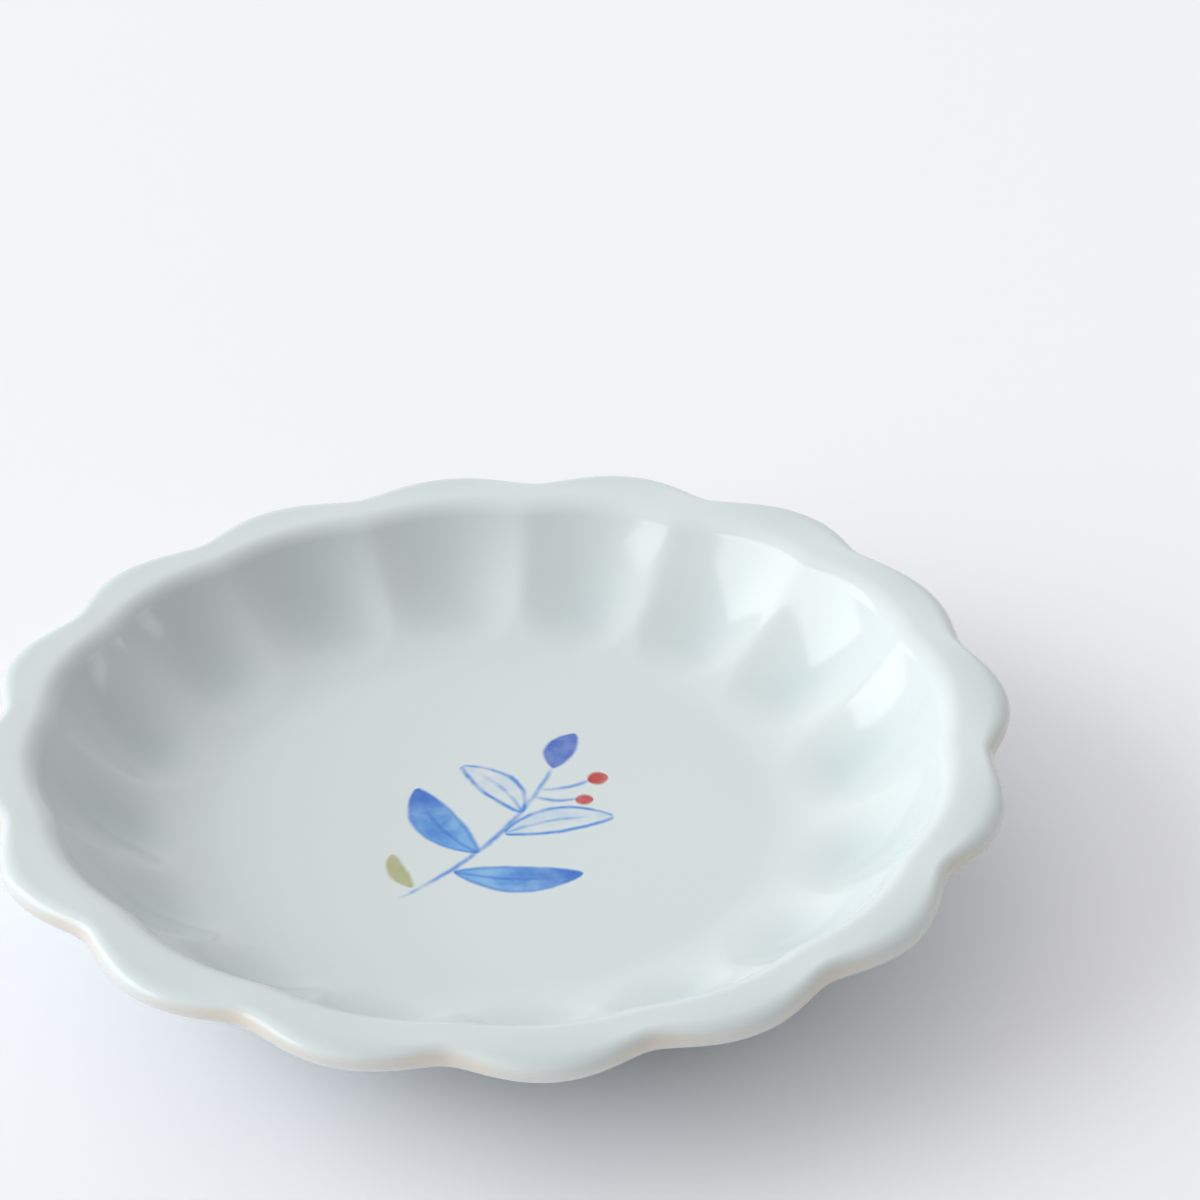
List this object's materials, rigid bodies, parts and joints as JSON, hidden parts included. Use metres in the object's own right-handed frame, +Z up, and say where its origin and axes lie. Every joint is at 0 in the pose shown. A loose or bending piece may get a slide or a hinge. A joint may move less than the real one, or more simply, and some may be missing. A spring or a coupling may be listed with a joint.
{
  "type": "sauce plate",
  "caption": "Shallow round porcelain sauce plate with a smooth well, a fluted wall and a scalloped lip, standing on a luted foot ring.",
  "frame": {"origin": "on the table, at the centre of the foot ring's standing face", "axes": "+Z up, along the plate's round axis; +X and +Y each through the middle of a flute"},
  "size_m": [0.1, 0.1, 0.018],
  "materials": {
    "glaze": "gloss",
    "foot": "glazed sides, bare standing edge"
  },
  "bodies": {
    "root": {"dish": "glaze", "foot_ring": "foot"}
  },
  "joints": []
}
